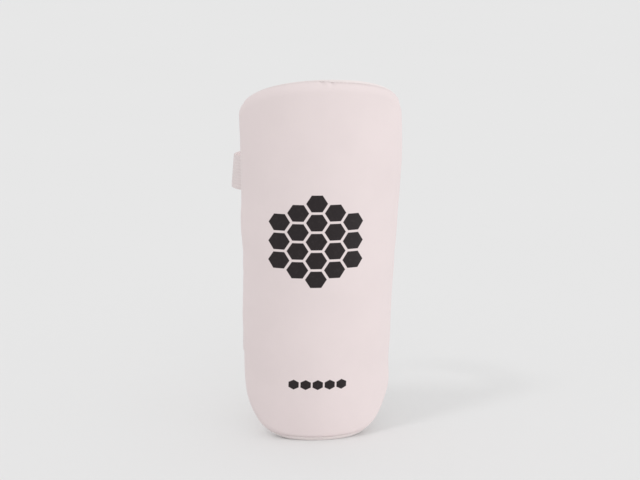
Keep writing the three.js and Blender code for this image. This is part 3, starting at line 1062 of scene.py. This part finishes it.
def box_stitches(strap, sizes):
    """Centre lines of the stitches that hold a hook patch, on the strap's outer face: a rectangle just inside
    the patch's edge, walked at even steps, each stitch bowed out of the cloth by a parabola."""
    where = strap_places(strap)
    pitch = sizes.stitch_pitch / MM
    half = sizes.stitch_length / MM / 2
    left = where["hook_start"] + BOX_INSET[0]
    right = where["hook_start"] + HOOK_LENGTH - BOX_INSET[0]
    edge = HOOK_WIDTH / 2 - BOX_INSET[1]
    across = int(2 * edge / pitch)
    long = int((right - left) / pitch)
    rises = (np.arange(across) + 0.5) / across * 2 * edge - edge
    lengths = left + (np.arange(long) + 0.5) / long * (right - left)
    share = np.linspace(-1, 1, STITCH_POINTS)
    runs = []
    for rise in (-edge, edge):
        runs.append((lengths[:, None] + half * share, np.full((long, STITCH_POINTS), rise)))
    for length in (left, right):
        runs.append((np.full((across, STITCH_POINTS), length), rises[:, None] + half * share))
    length = np.concatenate([run[0] for run in runs])
    rise = np.concatenate([run[1] for run in runs])
    bow = 0.16 * (1 - share**2) - 0.08
    lift = where["strap_lift"] + STRAP_THICKNESS / 2 + bow + 0 * length
    lines = strap_points(strap, length, rise, lift)
    return lines, strap_points(strap, length, rise, lift + 1) - lines


# Operators


class ELBOWGUARD_OT_front_pad(bpy.types.Operator):
    """Make the foam pad in its coated cover"""

    bl_idname = "elbow_guard.front_pad"
    bl_label = "Front pad"

    def execute(self, context):
        sizes = context.scene.guard_sizes
        rows, lay = pad_cover_rows(sizes)
        piece = make_skin("pad_cover", rows, lay, cover_cloth(context.scene.guard_colours, sizes))
        finish_piece(piece, "cover", "front_pad")
        return {"FINISHED"}


class ELBOWGUARD_OT_arm_panel(bpy.types.Operator):
    """Make the cloth panel on the arm side, with its turned edge"""

    bl_idname = "elbow_guard.arm_panel"
    bl_label = "Arm side panel"

    def execute(self, context):
        rows, lay = arm_panel_rows(context.scene.guard_sizes)
        piece = make_skin("arm_panel", rows, lay, panel_cotton(context.scene.guard_colours))
        finish_piece(piece, "panel_cloth", "back_panel")
        return {"FINISHED"}


class ELBOWGUARD_OT_straps(bpy.types.Operator):
    """Make the elastic straps and their tails"""

    bl_idname = "elbow_guard.straps"
    bl_label = "Elastic straps"

    def execute(self, context):
        sizes = context.scene.guard_sizes
        material = ribbed_elastic(context.scene.guard_colours, sizes)
        rib_height = sizes.rib_height / MM
        profile = band_profile(STRAP_WIDTH, STRAP_THICKNESS, sizes.rib_count, rib_height, STRAP_ROUND)
        for name, strap in STRAPS.items():
            where = strap_places(strap)
            lap = where["lap_start"]
            ends = {
                "band": (-TUCK, where["lap_end"], f"{name}_strap"),
                "tail": (lap, where["whole"] + TUCK, f"{name}_strap_tail"),
            }
            for part, (start, end, node) in ends.items():
                lengths = spaced(start, end, 1.3, STRAP_ROUND)
                climb = where["strap_lift"] * smooth_step(lap - LAP_LEAD, lap, lengths)
                lift = climb if part == "band" else 0 * lengths
                from_seam = lengths if part == "band" else where["whole"] - lengths
                nip = 0.5 + 0.5 * smooth_step(-TUCK, 2.6, from_seam)
                squeeze = round_ends(lengths, start, end, STRAP_ROUND) * nip
                points, lay = band_rows(strap, lengths, profile, lift, squeeze)
                piece = make_skin(f"{name}_{part}", points, lay, material)
                finish_piece(piece, "elastic", node)
        return {"FINISHED"}


class ELBOWGUARD_OT_hook_patches(bpy.types.Operator):
    """Make the hook patches between the straps and their tails"""

    bl_idname = "elbow_guard.hook_patches"
    bl_label = "Hook patches"

    def execute(self, context):
        material = hook_tape(context.scene.guard_colours)
        profile = band_profile(HOOK_WIDTH, HOOK_THICKNESS, 0, 0.0, HOOK_ROUND)
        for name, strap in STRAPS.items():
            where = strap_places(strap)
            start = where["hook_start"]
            end = start + HOOK_LENGTH
            lengths = spaced(start, end, 1.5, HOOK_ROUND)
            lift = where["hook_lift"] + 0 * lengths
            squeeze = round_ends(lengths, start, end, HOOK_ROUND)
            points, lay = band_rows(strap, lengths, profile, lift, squeeze)
            piece = make_skin(f"{name}_hooks", points, lay, material)
            finish_piece(piece, "hook_tape", f"{name}_hook_patch")
        return {"FINISHED"}


class ELBOWGUARD_OT_stitches(bpy.types.Operator):
    """Make the stitches of the seam and of the hook patches"""

    bl_idname = "elbow_guard.stitches"
    bl_label = "Stitches"

    def execute(self, context):
        sizes = context.scene.guard_sizes
        material = sewing_thread(context.scene.guard_colours)
        runs = {"seam_stitches": (seam_stitches(sizes), "cover")}
        for name, strap in STRAPS.items():
            runs[f"{name}_stitches"] = (box_stitches(strap, sizes), "elastic")
        for title, ((lines, outs), slot) in runs.items():
            points, faces, lay = thread_runs(lines, outs, sizes.thread_width)
            piece = make_piece(title, points, faces, lay, material)
            finish_piece(piece, slot)
        return {"FINISHED"}


class ELBOWGUARD_OT_stage(bpy.types.Operator):
    """Set up the floor, the light and the camera"""

    bl_idname = "elbow_guard.stage"
    bl_label = "Stage"

    def execute(self, context):
        scene = context.scene
        studio = scene.guard_studio
        turn = np.linspace(0, 2 * np.pi, 97)[:-1]
        radius = np.array([*FLOOR_RINGS, studio.reach])[:, None]
        disc = np.stack([radius * np.cos(turn), radius * np.sin(turn), 0 * radius * turn], -1)
        rows = np.concatenate([disc, disc[::-1] - [0, 0, FLOOR_DEPTH]])
        floor = make_skin("floor", rows, 0 * rows, studio_floor(studio))
        floor.data.polygons.foreach_set("use_smooth", np.zeros(len(floor.data.polygons), bool))
        world = bpy.data.worlds.new("surround")
        world.use_nodes = True
        nodes = world.node_tree.nodes
        nodes["Background"].inputs["Color"].default_value = (1, 1, 1, 1)
        seen = nodes.new("ShaderNodeLightPath")
        strength = nodes.new("ShaderNodeMapRange")
        strength.inputs["To Min"].default_value = studio.surround
        strength.inputs["To Max"].default_value = studio.backdrop
        world.node_tree.links.new(seen.outputs["Is Camera Ray"], strength.inputs["Value"])
        world.node_tree.links.new(strength.outputs["Result"], nodes["Background"].inputs["Strength"])
        scene.world = world
        scene.view_settings.view_transform = "Standard"
        back, right, up = camera_axes()
        level_back = Vector((back.x, back.y, 0)).normalized()
        level_right = Vector((right.x, right.y, 0)).normalized()
        for name, swing, height, spread, shadow in LAMPS:
            swing, height = np.radians([swing, height])
            level = level_back * float(np.cos(swing)) + level_right * float(np.sin(swing))
            towards = level * float(np.cos(height)) + Vector((0, 0, float(np.sin(height))))
            light = bpy.data.lights.new(f"{name}_light", "SUN")
            light.energy = getattr(studio, name)
            light.angle = float(np.radians(spread))
            light.use_shadow = shadow
            lamp = bpy.data.objects.new(light.name, light)
            lamp.rotation_euler = towards.to_track_quat("Z", "Y").to_euler()
            lamp.location = towards * LAMP_DISTANCE
            scene.collection.objects.link(lamp)
        self.camera(scene, back, right, up)
        return {"FINISHED"}

    def camera(self, scene, back, right, up):
        """A long lens that looks from the photo's side and height, at the middle of its frame."""
        behind, height = TURNED_ABOUT
        eye = Vector((0.0, SET_BACK + behind, height)) + back * CAMERA_DISTANCE
        ahead = (-back + right * (VIEW_SHIFT[0] / FOCUS) + up * (VIEW_SHIFT[1] / FOCUS)).normalized()
        level = (right - ahead * right.dot(ahead)).normalized()
        lens = bpy.data.cameras.new("camera")
        lens.sensor_width = SENSOR_WIDTH
        lens.lens = FOCUS / PHOTO_WIDTH * SENSOR_WIDTH
        lens.clip_end = 60.0
        camera = bpy.data.objects.new("camera", lens)
        axes = Matrix((level, level.cross(ahead), -ahead)).transposed().to_4x4()
        camera.matrix_world = Matrix.Translation(eye) @ axes
        scene.collection.objects.link(camera)
        scene.camera = camera


def camera_axes():
    """Directions back to the camera, to its right and up, from its swing, its height and its small roll."""
    swing, height, roll = np.radians(CAMERA_TURNS)
    back = np.array([-np.sin(swing) * np.cos(height), -np.cos(swing) * np.cos(height), np.sin(height)])
    right = np.array([np.cos(swing), -np.sin(swing), 0])
    up = np.cross(back, right)
    level = right * np.cos(roll) + up * np.sin(roll)
    upright = up * np.cos(roll) - right * np.sin(roll)
    return Vector(back), Vector(level), Vector(upright)


class VIEW3D_PT_elbow_guard(bpy.types.Panel):
    """Sizes, colours and makers of the elbow guard"""

    bl_label = "Elbow guard"
    bl_space_type = "VIEW_3D"
    bl_region_type = "UI"
    bl_category = "Guard"

    def draw(self, context):
        for group in (context.scene.guard_sizes, context.scene.guard_colours, context.scene.guard_studio):
            box = self.layout.box()
            for name in group.__annotations__:
                box.prop(group, name)
        for operator in OPERATORS:
            self.layout.operator(operator.bl_idname)


GROUPS = {"guard_sizes": GuardSizes, "guard_colours": GuardColours, "guard_studio": StudioSettings}
OPERATORS = (
    ELBOWGUARD_OT_front_pad,
    ELBOWGUARD_OT_arm_panel,
    ELBOWGUARD_OT_straps,
    ELBOWGUARD_OT_hook_patches,
    ELBOWGUARD_OT_stitches,
    ELBOWGUARD_OT_stage,
)


def register():
    for group in (*GROUPS.values(), *OPERATORS, VIEW3D_PT_elbow_guard):
        bpy.utils.register_class(group)
    for name, group in GROUPS.items():
        setattr(bpy.types.Scene, name, PointerProperty(type=group))


def unregister():
    for name in GROUPS:
        delattr(bpy.types.Scene, name)
    for group in (VIEW3D_PT_elbow_guard, *reversed(OPERATORS), *reversed(GROUPS.values())):
        bpy.utils.unregister_class(group)


def front_reach():
    """How far forward the plain formula puts the pad's front face, in metres."""
    arc, z = np.meshgrid(np.linspace(-12, 12, 7), np.linspace(60, 265, 206))
    return shell_points(arc, z, FACE)[..., 1].min()


# How far back the guard stands in the frame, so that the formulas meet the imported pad: nought while the
# plain formula is measured
SET_BACK = 0.0
SET_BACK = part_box("front_pad")[0].y - front_reach()


def main():
    register()
    bpy.ops.elbow_guard.front_pad()
    bpy.ops.elbow_guard.arm_panel()
    bpy.ops.elbow_guard.straps()
    bpy.ops.elbow_guard.hook_patches()
    bpy.ops.elbow_guard.stitches()
    bpy.ops.elbow_guard.stage()


if __name__ == "__main__":
    main()
